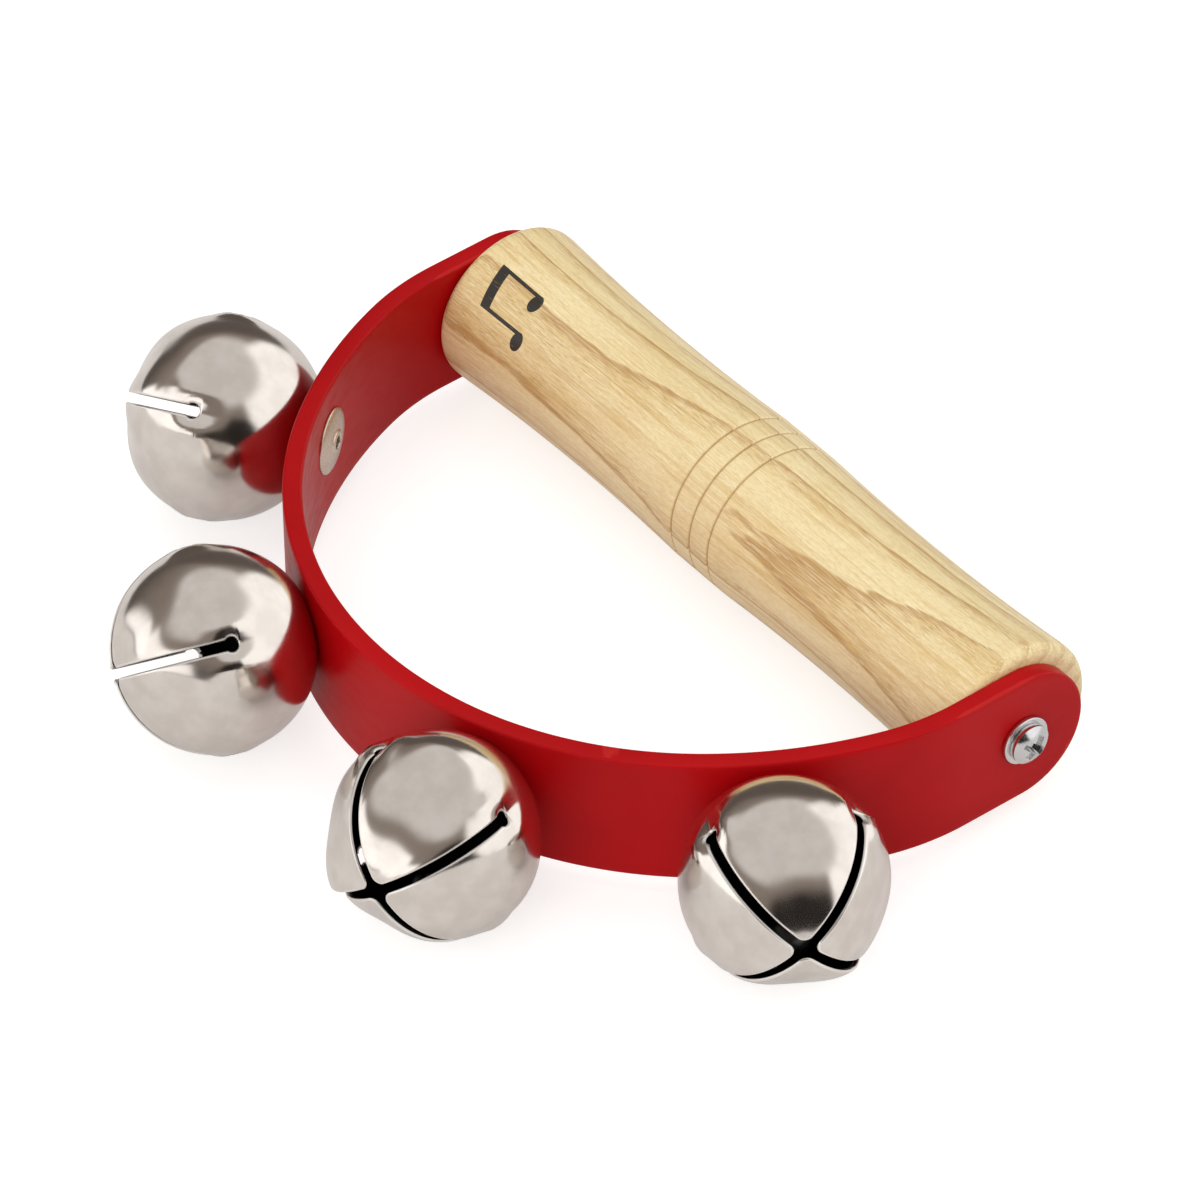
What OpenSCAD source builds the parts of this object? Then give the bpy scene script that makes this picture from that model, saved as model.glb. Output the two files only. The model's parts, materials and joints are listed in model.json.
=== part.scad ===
// Hand-held sleigh bells: a turned wooden grip, a curved plastic strap screwed to both ends of the
// grip, and four slotted ball bells riveted in a row to the outside of the strap.
// Each bell can be turned on its rivet and holds one loose steel pellet.
//
// Millimetres. The origin is the centre of the grip. +X runs along the grip, the strap and the
// bells lie on the -Y side, and +Z is up, square to the plane the strap is bent in.

/* [Grip] */
// Length of the wooden grip
grip_len = 136.8; // [120:0.2:150]
// Diameter of the straight band at the middle
grip_d = 29; // [27:0.5:33]
// Length of the straight band at the middle
grip_band = 13; // [11:0.5:16]
// Smallest diameter, at each of the two waists
waist_d = 27.7; // [26:0.1:28.5]
// Distance from the middle to each waist
waist_x = 32; // [26:0.5:36]
// Diameter at the two ends
grip_end_d = 29.9; // [28:0.1:34]
// Radius that rounds the end edges
grip_edge_r = 1.3; // [0.6:0.1:2]
// Distance between the three turned rings
ring_pitch = 4.85; // [3.5:0.05:5]
// Radius of the turned rings' round bottom
ring_r = 0.4; // [0.2:0.05:0.6]

/* [Strap] */
// Width of the strap
strap_w = 25.1; // [22:0.1:28]
// Thickness of the strap
strap_t = 3.4; // [2.6:0.1:4]
// Straight length from the grip's axis to the first bend
strap_flat = 13.5; // [13:0.5:18]
// Bend radius of the shoulder, on the centreline
shoulder_r = 43.3; // [36:0.1:50]
// Angle the shoulder turns through, in degrees
shoulder_turn = 18.4; // [12:0.1:24]
// Bend radius of the side, on the centreline
side_r = 85.3; // [76:0.1:96]
// Angle the side turns through, in degrees
side_turn = 20.2; // [16:0.1:24]

/* [Bells] */
// Outside diameter of a bell
bell_d = 34.6; // [31:0.2:36]
// Sheet thickness of a bell
bell_wall = 0.8; // [0.6:0.1:1.2]
// Distance from the strap's centreline to a bell's centre
bell_offset = 17.8; // [17.2:0.1:18.4]
// Distance between bells along the strap's centreline
bell_pitch = 47.3; // [44:0.1:50]
// How far the row of bells sits toward +X
row_shift = 1.5; // [0:0.1:3]
// How far the row of bells sits above the middle of the strap's width
bell_rise = 1.3; // [0:0.1:2]
// Width of the slots
slot_w = 2.4; // [1.6:0.1:2.6]
// Radius of the round hole that ends each slot
slot_end_r = 1.5; // [1.4:0.1:2.2]
// Radius of a petal's rounded tip
petal_tip_r = 1.8; // [1:0.1:2.4]
// How far each bell's slots are turned from the strap's direction, from -X to +X, in degrees
slot_turns = [43.5, 44, 37.5, 45];
// Diameter of the loose pellet in each bell
pellet_d = 8.5; // [7:0.5:10]

/* [Fasteners] */
// Diameter of a rivet's wide flange
flange_d = 11.8; // [10:0.1:13]
// Diameter of a rivet's tubular shank
rivet_d = 4; // [3.6:0.1:4.4]
// Diameter of a washer, on a 4 mm screw
washer_d = 9; // [8:0.5:10]
// Thickness of a washer
washer_t = 0.9; // [0.6:0.1:1.2]
// Diameter of a screw's domed head
head_d = 7.6; // [7:0.1:8]
// Length of a screw's shank under the head
screw_len = 25; // [16:1:30]
// How far the screws sit off the grip's axis, toward the bells
screw_drop = 1.35; // [0:0.05:2]

/* [Hidden] */

$fn = 96;
fine = 720;               // facets of the very large circles
arc_step = 2.5;           // most degrees between two points along the strap's bends
reach = 60;               // longer than anything a cutter has to pass through
turning_gap = 0.05;       // clearance between a bell and what it turns on
fixed_gap = 0.02;         // clearance between pieces that are pressed or screwed together
loose_gap = 0.15;         // clearance round a shank that passes through the strap or a washer
over = 1;                 // how far a cutter runs past what it cuts

screw_r = 2;
point_h = 4;              // length of the screw's tapered point
point_r = 0.3;
pilot_depth = screw_len - 2;
head_h = 2.5;
head_edge_h = 1.1;        // height of the head's upright edge, below the dome
recess_depth = 1.7;
recess_w = 1.1;
recess_top_r = 2.3;
recess_bottom_r = 0.8;
recess_turn = 30;

mandrel_r = 1.1;
mandrel_sunk = 0.6;       // how far the broken end sits below the flange's raised rim
mandrel_head_r = 1.9;
mandrel_head_h = 2.4;
mandrel_tip_r = 1.15;
flange_bite = 0.15;       // how far the flange is pulled into the strap
flange_h = 1.1;
flange_rim_h = 0.5;
flange_lip_h = 0.35;      // raised rim round the flange's centre hole
flange_lip_r = 1.85;
flange_crown_r = 3;       // where the flange starts to slope down to its rim
tail_r = 3.1;             // the folded end that grips the bell's back
tail_h = 3.6;

// Where a rivet's flange is seated and where its tail starts, from the strap's centreline.
flange_seat = flange_bite - strap_t / 2;
tail_z = strap_t / 2 + bell_wall + 2 * turning_gap;

bell_r = bell_d / 2;
bell_inner_r = bell_r - bell_wall;
bell_back = bell_offset - strap_t / 2 - turning_gap;   // from the bell's centre to its flat back
pellet_drop = bell_inner_r - pellet_d / 2 - turning_gap;

// The strap's centreline, from the end of its flat tab to its middle, is three arcs that meet with
// no corner: the shoulder, the side and the loop. The loop's centre lies on x = 0, which sets its
// radius.
tab_x = grip_len / 2 + strap_t / 2;
loop_start = shoulder_turn + side_turn;
shoulder_centre = [tab_x - shoulder_r, -strap_flat];
side_centre = shoulder_centre
            + (shoulder_r - side_r) * [cos(shoulder_turn), -sin(shoulder_turn)];
loop_r = side_r + side_centre.x / cos(loop_start);
loop_centre = side_centre + (side_r - loop_r) * [cos(loop_start), -sin(loop_start)];
loop_half_len = loop_r * (90 - loop_start) * PI / 180;

// Direction that faces away from the grip, in degrees from -Y, at a distance s from the middle.
function lean(s) =
    abs(s) < loop_half_len
        ? abs(s) / loop_r * 180 / PI
        : 90 - loop_start + (abs(s) - loop_half_len) / side_r * 180 / PI;

// Point on the strap's centreline at a distance s from the middle, for s > 0.
function half_point(s) =
    (abs(s) < loop_half_len ? loop_centre : side_centre)
    + (abs(s) < loop_half_len ? loop_r : side_r) * [sin(lean(s)), -cos(lean(s))];

function bell_s(i) = (i - 2.5) * bell_pitch + row_shift;

// Puts a bell's own frame on the strap: +Z away from the grip, +X along the strap, +Y up.
module at_bell(i) {
    s = bell_s(i);
    p = half_point(s);
    translate([sign(s) * p.x, p.y, bell_rise])
        rotate([90, 0, sign(s) * lean(s)])
            children();
}

// Puts a screw's own frame on the outside of a tab: +Z outward along the grip. side is -1 or 1.
module at_tab(side) {
    translate([side * (grip_len / 2 + strap_t), -screw_drop, 0])
        rotate([0, side * 90, 0])
            children();
}

// ---- grip ----

// Half section of the grip: radius along X, distance along the grip on Y.
module grip_section() {
    end_r = grip_end_d / 2;
    half_len = grip_len / 2;
    waist_dip = (grip_d - waist_d) / 2;
    waist_run = waist_x - grip_band / 2;
    waist_curve_r = (pow(waist_run, 2) + pow(waist_dip, 2)) / (2 * waist_dip);
    difference() {
        union() {
            translate([0, -half_len])
                square([end_r - grip_edge_r, grip_len]);
            translate([0, grip_edge_r - half_len])
                square([end_r, grip_len - 2 * grip_edge_r]);
            for (end = [-1, 1])
                translate([end_r - grip_edge_r, end * (half_len - grip_edge_r)])
                    circle(r = grip_edge_r);
        }
        for (end = [-1, 1])
            translate([waist_d / 2 + waist_curve_r, end * waist_x])
                circle(r = waist_curve_r, $fn = fine);
        translate([grip_d / 2, -grip_band / 2])
            square([reach, grip_band]);
        for (k = [-1 : 1])
            translate([grip_d / 2, k * ring_pitch])
                circle(r = ring_r);
    }
}

module handle() {
    color([0.86, 0.76, 0.56])
    difference() {
        rotate([0, 90, 0])
            rotate_extrude()
                grip_section();
        for (side = [-1, 1])
            at_tab(side)
                translate([0, 0, -strap_t - pilot_depth])
                    cylinder(r = screw_r + fixed_gap, h = pilot_depth + over);
    }
}

// ---- strap ----

// Points along an arc that starts angle degrees below the +X direction and turns toward -Y. The
// first point is left out, so that it can follow on from the end of another arc.
function arc_points(centre, radius, angle, turn) =
    let (steps = ceil(turn / arc_step))
    [for (k = [1 : steps])
        let (a = angle + turn * k / steps)
        centre + radius * [cos(a), -sin(a)]];

// The strap seen edge on: the +X half of the line that runs at a distance out from its centreline,
// from the tip of the tab to x = 0.
function half_edge(out) =
    concat([[tab_x + out, strap_w / 2 - screw_drop], [tab_x + out, -strap_flat]],
           arc_points(shoulder_centre, shoulder_r + out, 0, shoulder_turn),
           arc_points(side_centre, side_r + out, shoulder_turn, side_turn),
           arc_points(loop_centre, loop_r + out, loop_start, 90 - loop_start));

// The same line on from x = 0 to the tip of the other tab.
function whole_edge(out) =
    let (half = half_edge(out))
    concat(half, [for (k = [len(half) - 2 : -1 : 0]) [-half[k].x, half[k].y]]);

function reversed(points) = [for (k = [len(points) - 1 : -1 : 0]) points[k]];

module strap_band() {
    linear_extrude(strap_w, center = true)
        polygon(concat(whole_edge(strap_t / 2), reversed(whole_edge(-strap_t / 2))));
}

// What is cut off a tab's square corners to leave its tip full round about the screw.
module tab_corners() {
    difference() {
        translate([-strap_w, 0, -2 * strap_t])
            cube([2 * strap_w, strap_w, 3 * strap_t]);
        cylinder(d = strap_w, h = 8 * strap_t, center = true);
    }
}

// Rivet hole through the strap, with a flat seat for the flange in the hollow inner face.
module rivet_seat() {
    hole_r = rivet_d / 2 + loose_gap;
    seat_r = flange_d / 2 + loose_gap;
    rotate_extrude()
        polygon([[0, -strap_t], [seat_r, -strap_t], [seat_r, flange_seat],
                 [hole_r, flange_seat], [hole_r, strap_t], [0, strap_t]]);
}

module strap() {
    color([0.72, 0.09, 0.09])
    difference() {
        strap_band();
        for (side = [-1, 1])
            at_tab(side) {
                tab_corners();
                cylinder(r = screw_r + loose_gap, h = 4 * strap_t, center = true);
            }
        for (i = [1 : 4])
            at_bell(i)
                rivet_seat();
    }
}

// ---- screws and washers ----

module washer(side) {
    color([0.78, 0.78, 0.77])
    at_tab(side)
        difference() {
            cylinder(d = washer_d, h = washer_t);
            translate([0, 0, -over])
                cylinder(r = screw_r + loose_gap, h = washer_t + 2 * over);
        }
}

// Cross recess, cut down from the top of the head.
module cross_recess() {
    intersection() {
        translate([0, 0, -recess_depth])
            cylinder(r1 = recess_bottom_r, r2 = recess_top_r, h = recess_depth);
        for (turn = [0, 90])
            rotate([0, 0, turn])
                translate([0, 0, -recess_depth / 2])
                    cube([2 * recess_top_r, recess_w, 2 * recess_depth], center = true);
    }
}

module screw(side) {
    head_r = head_d / 2;
    dome_h = head_h - head_edge_h;
    dome_r = (pow(head_r, 2) + pow(dome_h, 2)) / (2 * dome_h);
    color([0.80, 0.80, 0.79])
    at_tab(side)
        translate([0, 0, washer_t]) {
            difference() {
                intersection() {
                    cylinder(r = head_r, h = head_h);
                    translate([0, 0, head_h - dome_r])
                        sphere(r = dome_r, $fn = 2 * $fn);
                }
                translate([0, 0, head_h])
                    rotate([0, 0, recess_turn])
                        cross_recess();
            }
            translate([0, 0, point_h - screw_len])
                cylinder(r = screw_r, h = screw_len - point_h);
            translate([0, 0, -screw_len])
                cylinder(r1 = point_r, r2 = screw_r, h = point_h);
        }
}

// ---- rivets ----

// Tubular blind rivet. Its wide flange sits on the strap's inner face and its folded tail is
// inside the bell, just clear of the bell's flat back so that the bell can turn.
module rivet(i) {
    bore_r = mandrel_r + fixed_gap;
    shank_r = rivet_d / 2;
    flange_r = flange_d / 2;
    flange_top = flange_seat - flange_h;
    color([0.80, 0.78, 0.74])
    at_bell(i)
        rotate_extrude()
            polygon([[bore_r, flange_top - flange_lip_h],
                     [flange_lip_r, flange_top - flange_lip_h],
                     [flange_lip_r, flange_top],
                     [flange_crown_r, flange_top],
                     [flange_r, flange_seat - flange_rim_h],
                     [flange_r, flange_seat],
                     [shank_r, flange_seat],
                     [shank_r, tail_z],
                     [tail_r, tail_z],
                     [tail_r, tail_z + tail_h],
                     [bore_r, tail_z + tail_h]]);
}

// The stub of the pulling mandrel that stays in the rivet, with its head past the tail.
module rivet_mandrel(i) {
    bottom = flange_seat - flange_h - flange_lip_h + mandrel_sunk;
    tail_end = tail_z + tail_h;
    color([0.62, 0.62, 0.62])
    at_bell(i) {
        translate([0, 0, bottom])
            cylinder(r = mandrel_r, h = tail_end - bottom + over);
        translate([0, 0, tail_end + fixed_gap])
            cylinder(r1 = mandrel_head_r, r2 = mandrel_tip_r, h = mandrel_head_h);
    }
}

// ---- bells ----

// Ball with a flat back, in the bell's own frame, centred on the ball.
module flat_backed_ball(radius, back) {
    difference() {
        sphere(r = radius, $fn = 2 * $fn);
        translate([-radius, -radius, -back - radius])
            cube([2 * radius, 2 * radius, radius]);
    }
}

// Outline of the two crossing slots seen from in front, with room for the petals' round tips.
module slot_cross() {
    corner = slot_w / 2;
    for (turn = [0, 90])
        rotate(turn)
            square([4 * bell_r, slot_w], center = true);
    for (quarter = [0 : 3])
        rotate(90 * quarter)
            difference() {
                translate([corner - fixed_gap, corner - fixed_gap])
                    square(petal_tip_r + fixed_gap);
                translate([corner + petal_tip_r, corner + petal_tip_r])
                    circle(r = petal_tip_r);
            }
}

module bell_shell(i) {
    color([0.80, 0.78, 0.75])
    at_bell(i)
        translate([0, 0, bell_offset])
            difference() {
                flat_backed_ball(bell_r, bell_back);
                flat_backed_ball(bell_inner_r, bell_back - bell_wall);
                translate([0, 0, -bell_back - over])
                    cylinder(r = rivet_d / 2 + turning_gap, h = bell_wall + 2 * over);
                rotate([0, 0, slot_turns[i - 1]]) {
                    linear_extrude(2 * bell_r)
                        slot_cross();
                    for (turn = [0, 90])
                        rotate([90, 0, turn])
                            cylinder(r = slot_end_r, h = 4 * bell_r, center = true);
                }
            }
}

// Loose ball resting on the lowest part of the bell's inner wall.
module pellet(i) {
    color([0.60, 0.60, 0.60])
    at_bell(i)
        translate([0, -pellet_drop, bell_offset])
            sphere(d = pellet_d);
}

handle();
strap();
washer(-1);  // washer_left
washer(1);  // washer_right
screw(-1);  // screw_left
screw(1);  // screw_right
rivet(1);  // rivet_1
rivet(2);  // rivet_2
rivet(3);  // rivet_3
rivet(4);  // rivet_4
rivet_mandrel(1);  // rivet_mandrel_1
rivet_mandrel(2);  // rivet_mandrel_2
rivet_mandrel(3);  // rivet_mandrel_3
rivet_mandrel(4);  // rivet_mandrel_4
bell_shell(1);  // bell_shell_1
bell_shell(2);  // bell_shell_2
bell_shell(3);  // bell_shell_3
bell_shell(4);  // bell_shell_4
pellet(1);  // pellet_1
pellet(2);  // pellet_2
pellet(3);  // pellet_3
pellet(4);  // pellet_4
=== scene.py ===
"""Looks of the hand-held sleigh bells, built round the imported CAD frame.

Lengths inside the shape functions are millimetres, and each piece is turned into metres and put in
the frame by one matrix. A bell's own frame has +Z away from the grip, +X along the strap, +Y up.
"""

import json
import math

import bmesh
import bpy
from mathutils import Matrix, Vector, noise


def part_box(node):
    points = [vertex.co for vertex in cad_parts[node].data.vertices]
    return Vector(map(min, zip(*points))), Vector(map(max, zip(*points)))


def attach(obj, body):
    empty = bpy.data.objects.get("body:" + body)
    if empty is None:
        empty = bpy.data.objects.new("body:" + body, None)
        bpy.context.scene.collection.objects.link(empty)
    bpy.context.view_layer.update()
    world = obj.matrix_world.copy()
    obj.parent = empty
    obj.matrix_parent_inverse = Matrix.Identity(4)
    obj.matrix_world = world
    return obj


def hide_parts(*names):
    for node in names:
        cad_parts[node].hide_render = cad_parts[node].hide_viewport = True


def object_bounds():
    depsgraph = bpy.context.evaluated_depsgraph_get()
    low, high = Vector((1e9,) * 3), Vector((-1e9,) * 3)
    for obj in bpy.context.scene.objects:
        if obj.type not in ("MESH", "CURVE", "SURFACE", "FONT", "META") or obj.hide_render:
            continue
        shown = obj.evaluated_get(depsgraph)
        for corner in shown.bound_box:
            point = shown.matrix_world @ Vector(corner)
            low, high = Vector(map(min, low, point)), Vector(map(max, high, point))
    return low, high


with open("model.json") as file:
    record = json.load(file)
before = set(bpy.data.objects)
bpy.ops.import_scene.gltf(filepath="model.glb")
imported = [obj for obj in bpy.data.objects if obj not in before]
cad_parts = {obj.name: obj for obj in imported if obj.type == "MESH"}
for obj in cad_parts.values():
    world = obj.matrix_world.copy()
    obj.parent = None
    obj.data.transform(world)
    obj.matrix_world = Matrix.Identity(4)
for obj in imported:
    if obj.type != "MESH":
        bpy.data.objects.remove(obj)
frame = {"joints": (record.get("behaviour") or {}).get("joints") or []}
cad_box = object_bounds()

MM = 0.001

# Driving dimensions of the CAD, in millimetres and degrees. The strap bends in a shoulder, a side
# and a middle loop. The grip has a straight band in the middle and a waist on each side of it.
STRAP_T = 3.4
STRAP_FLAT = 13.5
SHOULDER_R = 43.3
SHOULDER_TURN = 18.4
SIDE_R = 85.3
SIDE_TURN = 20.2
SCREW_DROP = 1.35  # the end screws sit this far from the grip's axis, toward the bells
GRIP_BAND = 13.0
GRIP_BAND_D = 29.0
WAIST_D = 27.7
WAIST_X = 32.0
GRIP_EDGE_R = 1.9
RING_PITCH = 4.85
RING_START = 44.4  # radius in the tree of the growth ring that arches on the grip
PRINT_X = -55.5  # place of the printed notes along the grip, and their turn round it
PRINT_TURN = 33.7
BELL_OFFSET = 17.8  # from the strap's middle surface to a bell's centre
BELL_WALL = 0.8
SLOT_TURNS = {1: 43.5, 2: 44.0, 3: 37.5, 4: 45.0}
BELLS = (1, 2, 3, 4)

# ---------------------------------------------------------------- frame measurements


def box_mm(node):
    """Lowest and highest corner of a CAD node, in millimetres."""
    low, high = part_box(node)
    return low / MM, high / MM


GRIP_LOW, GRIP_HIGH = box_mm("handle")
GRIP_LEN = GRIP_HIGH.x - GRIP_LOW.x
GRIP_END_D = GRIP_HIGH.z - GRIP_LOW.z
STRAP_LOW, STRAP_HIGH = box_mm("strap")
STRAP_W = STRAP_HIGH.z - STRAP_LOW.z
TAB_X = STRAP_HIGH.x - STRAP_T / 2
JOINTS = {joint["name"]: joint for joint in frame["joints"]}


def place(x_axis, y_axis, z_axis, origin_mm):
    """Matrix from a piece's own frame in millimetres to the shared frame in metres."""
    matrix = Matrix.Identity(4)
    for column, axis in enumerate((x_axis, y_axis, z_axis)):
        for row in range(3):
            matrix[row][column] = axis[row] * MM
    for row in range(3):
        matrix[row][3] = origin_mm[row] * MM
    return matrix


def upright(origin_mm=(0, 0, 0)):
    """Frame with the shared frame's own directions."""
    return place(Vector((1, 0, 0)), Vector((0, 1, 0)), Vector((0, 0, 1)), origin_mm)


def bell_place(number, shift=0.0):
    """A bell's own frame, its origin moved shift millimetres away from the grip."""
    joint = JOINTS[f"bell_{number}_turn"]
    out = Vector(joint["axis"]).normalized()
    along = Vector((-out.y, out.x, 0.0))
    origin = Vector(joint["pos_m"]) / MM + out * shift
    return place(along, Vector((0, 0, 1)), out, origin)


def tab_place(side):
    """Frame on the outside of a strap tab, +Z outward along the grip."""
    origin = (side * (TAB_X + STRAP_T / 2), -SCREW_DROP, 0)
    return place(Vector((0, 0, -side)), Vector((0, 1, 0)), Vector((side, 0, 0)), origin)


# ---------------------------------------------------------------- mesh building


def smoothstep(low, high, value):
    t = min(1.0, max(0.0, (value - low) / (high - low)))
    return t * t * (3 - 2 * t)


def bump_at(value, centre, width):
    """Bell curve of height 1 round centre."""
    return math.exp(-(((value - centre) / width) ** 2))


def make_object(name, points, faces, matrix, materials, weld=0.0, second=None):
    """A smooth-shaded piece from points in its own frame. Faces marked in second get the second
    material."""
    mesh = bpy.data.meshes.new(name)
    mesh.from_pydata([matrix @ Vector(p) for p in points], [], faces)
    if second:
        mesh.polygons.foreach_set("material_index", [int(mark) for mark in second])
    work = bmesh.new()
    work.from_mesh(mesh)
    if weld:
        bmesh.ops.remove_doubles(work, verts=work.verts, dist=weld * MM)
        bmesh.ops.dissolve_degenerate(work, edges=work.edges, dist=weld * MM / 2)
    bmesh.ops.recalc_face_normals(work, faces=work.faces)
    work.to_mesh(mesh)
    work.free()
    for polygon in mesh.polygons:
        polygon.use_smooth = True
    piece = bpy.data.objects.new(name, mesh)
    bpy.context.scene.collection.objects.link(piece)
    for material in materials:
        mesh.materials.append(material)
    return piece


def apply_modifiers(piece):
    """Turns a piece's modifiers into plain mesh."""
    graph = bpy.context.evaluated_depsgraph_get()
    made = bpy.data.meshes.new_from_object(piece.evaluated_get(graph))
    old = piece.data
    piece.modifiers.clear()
    piece.data = made
    made.name = piece.name
    bpy.data.meshes.remove(old)


def hand_over(piece, body, node):
    """Puts a finished piece on its body in place of a CAD node."""
    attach(piece, body)
    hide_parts(node)


def fillet(profile, radius, steps=5):
    """A profile with every corner but its two ends rounded, by at most radius."""
    made = [profile[0]]
    for before, corner, after in zip(profile, profile[1:], profile[2:]):
        p, a, b = Vector(corner), Vector(before), Vector(after)
        cut = min(radius, 0.45 * (a - p).length, 0.45 * (b - p).length)
        start = p + (a - p).normalized() * cut
        end = p + (b - p).normalized() * cut
        for k in range(steps + 1):
            t = k / steps
            point = start * (1 - t) ** 2 + p * 2 * t * (1 - t) + end * t**2
            made.append(tuple(point))
    made.append(profile[-1])
    return made


def lathe(profile, steps):
    """Points and faces of a profile of (radius, height) turned about Z. Radius 0 makes a pole."""
    points, rings, faces = [], [], []
    for radius, height in profile:
        if radius < 1e-6:
            rings.append([len(points)] * steps)
            points.append((0, 0, height))
            continue
        rings.append(list(range(len(points), len(points) + steps)))
        for k in range(steps):
            angle = 2 * math.pi * k / steps
            points.append((radius * math.cos(angle), radius * math.sin(angle), height))
    for low, high in zip(rings, rings[1:]):
        for k in range(steps):
            n = (k + 1) % steps
            corners = [low[k], low[n], high[n], high[k]]
            face = list(dict.fromkeys(corners))
            if len(face) > 2:
                faces.append(face)
    return points, faces


# ---------------------------------------------------------------- material building


class Shader:
    """Small wrapper that adds nodes to one material or world and wires them by name."""

    def __init__(self, owner):
        owner.use_nodes = True
        self.tree = owner.node_tree
        self.tree.nodes.clear()

    def add(self, kind, settings=None, **inputs):
        """A new node. An input is given by name, or as i0, i1 and so on where names repeat."""
        made = self.tree.nodes.new("ShaderNode" + kind)
        for name, value in (settings or {}).items():
            setattr(made, name, value)
        for name, value in inputs.items():
            by_number = name[0] == "i" and name[1:].isdigit()
            key = int(name[1:]) if by_number else name.replace("_", " ")
            self.set(made.inputs[key], value)
        return made

    def set(self, socket, value):
        if isinstance(value, bpy.types.NodeSocket):
            self.tree.links.new(value, socket)
        else:
            socket.default_value = value

    def math(self, operation, first, second=0.0, third=0.0):
        made = self.add("Math", {"operation": operation}, i0=first, i1=second, i2=third)
        return made.outputs[0]

    def ramp(self, value, low, high, to_low=0.0, to_high=1.0):
        """Smooth change from to_low to to_high as value goes from low to high."""
        made = self.add("MapRange", {"interpolation_type": "SMOOTHSTEP"}, Value=value)
        limits = {"From Min": low, "From Max": high, "To Min": to_low, "To Max": to_high}
        for name, number in limits.items():
            self.set(made.inputs[name], number)
        return made.outputs[0]

    def mix(self, factor, first, second):
        made = self.add("Mix", {"data_type": "RGBA"})
        self.set(made.inputs[0], factor)
        self.set(made.inputs[6], first)
        self.set(made.inputs[7], second)
        return made.outputs[2]

    def noise(self, vector, scale, detail=3.0, roughness=0.5):
        made = self.add("TexNoise", Vector=vector, Scale=scale, Detail=detail, Roughness=roughness)
        return made.outputs[0]

    def place_mm(self, stretch=(1, 1, 1)):
        """Place on the object in millimetres, divided by stretch along each axis."""
        coord = self.add("TexCoord")
        scale = [1 / (MM * s) for s in stretch]
        return self.add("Mapping", Vector=coord.outputs["Object"], Scale=scale).outputs[0]

    def bump(self, height, distance_mm, strength=1.0):
        made = self.add("Bump", Height=height, Strength=strength, Distance=distance_mm * MM)
        return made.outputs[0]

    def surface(self, **inputs):
        made = self.add("BsdfPrincipled", **inputs)
        self.add("OutputMaterial", Surface=made.outputs[0])


def colour(red, green, blue):
    """Linear colour from 0 to 255 display values."""

    def linear(value):
        v = value / 255
        return v / 12.92 if v <= 0.04045 else ((v + 0.055) / 1.055) ** 2.4

    return (linear(red), linear(green), linear(blue), 1.0)


def printed_notes(s, x, y, z):
    """Mask of two beamed notes, printed across the grip near its left end."""
    slope = 0.22
    beam_rise, beam_half_w, beam_half_h = 5.3, 3.95, 1.05
    stem_side, stem_rise, stem_half_w, stem_half_h = 3.6, 0.6, 0.35, 4.8
    head_side, head_drop, head_half_w, head_half_h = 1.35, 4.0, 1.75, 1.25
    turn = s.math("ADD", s.math("ARCTAN2", y, z), math.radians(PRINT_TURN))
    across = s.math("MULTIPLY", turn, GRIP_BAND_D / 2)
    rise = s.math("SUBTRACT", PRINT_X, x)
    slant = s.math("MULTIPLY_ADD", across, -slope, rise)

    def bar(value, centre, half):
        away = s.math("ABSOLUTE", s.math("SUBTRACT", value, centre))
        return s.math("LESS_THAN", away, half)

    beam = (bar(across, 0.0, beam_half_w), bar(slant, beam_rise, beam_half_h))
    mask = s.math("MULTIPLY", *beam)
    for centre in (-stem_side, stem_side):
        foot = slope * centre - head_drop
        stem = s.math("MULTIPLY", bar(across, centre, stem_half_w), bar(slant, stem_rise, stem_half_h))
        far_across = s.math("DIVIDE", s.math("SUBTRACT", across, centre - head_side), head_half_w)
        far_rise = s.math("DIVIDE", s.math("SUBTRACT", rise, foot), head_half_h)
        head_r = s.math("ADD", s.math("POWER", far_across, 2.0), s.math("POWER", far_rise, 2.0))
        head = s.math("LESS_THAN", head_r, 1.0)
        mask = s.math("MAXIMUM", mask, s.math("MAXIMUM", stem, head))
    return mask


def growth_rings(s, x, y, z):
    """How strongly the early wood of a ring, and the dark line it starts with, show at a place."""
    # The tree's own axis runs behind and below the grip and slants a little across it, so that
    # one growth ring arches toward the grip's right end.
    below, behind = 18.5, -21.0
    below_slant, behind_slant = 0.025, -0.0285
    ring_width = 3.6
    broad = s.noise(s.place_mm((60, 16, 16)), 1.0, 1.0)
    wobble = s.noise(s.place_mm((14, 2.0, 2.0)), 1.0, 3.0)
    deep = s.math("ADD", s.math("MULTIPLY_ADD", x, below_slant, z), below)
    side = s.math("ADD", s.math("MULTIPLY_ADD", x, behind_slant, y), behind)
    flat_r = s.math("SQRT", s.math("ADD", s.math("POWER", deep, 2.0), s.math("POWER", side, 2.0)))
    ring_r = s.math("MULTIPLY_ADD", broad, 2.4, s.math("MULTIPLY_ADD", wobble, 0.9, flat_r))
    ring = s.math("FRACT", s.math("DIVIDE", s.math("SUBTRACT", ring_r, RING_START), ring_width))
    early = s.math("MULTIPLY", s.ramp(ring, 0.0, 0.05), s.ramp(ring, 0.55, 0.08))
    line = s.math("MULTIPLY", s.ramp(ring, 0.0, 0.03), s.ramp(ring, 0.16, 0.05))
    # The rings crowd together on the rounded right end, where they show less.
    line = s.math("MULTIPLY", line, s.ramp(x, 58.0, 64.0, 1.0, 0.2))
    return early, line


def turned_scorch(s, x):
    """Mask of the scorched line in each turned ring."""
    outer, inner, strength = 0.27, 0.08, 0.65
    scorch = 0.0
    for k in (-1, 0, 1):
        away = s.math("ABSOLUTE", s.math("SUBTRACT", x, k * RING_PITCH))
        scorch = s.math("ADD", s.ramp(away, outer, inner, 0.0, strength), scorch)
    return scorch


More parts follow.
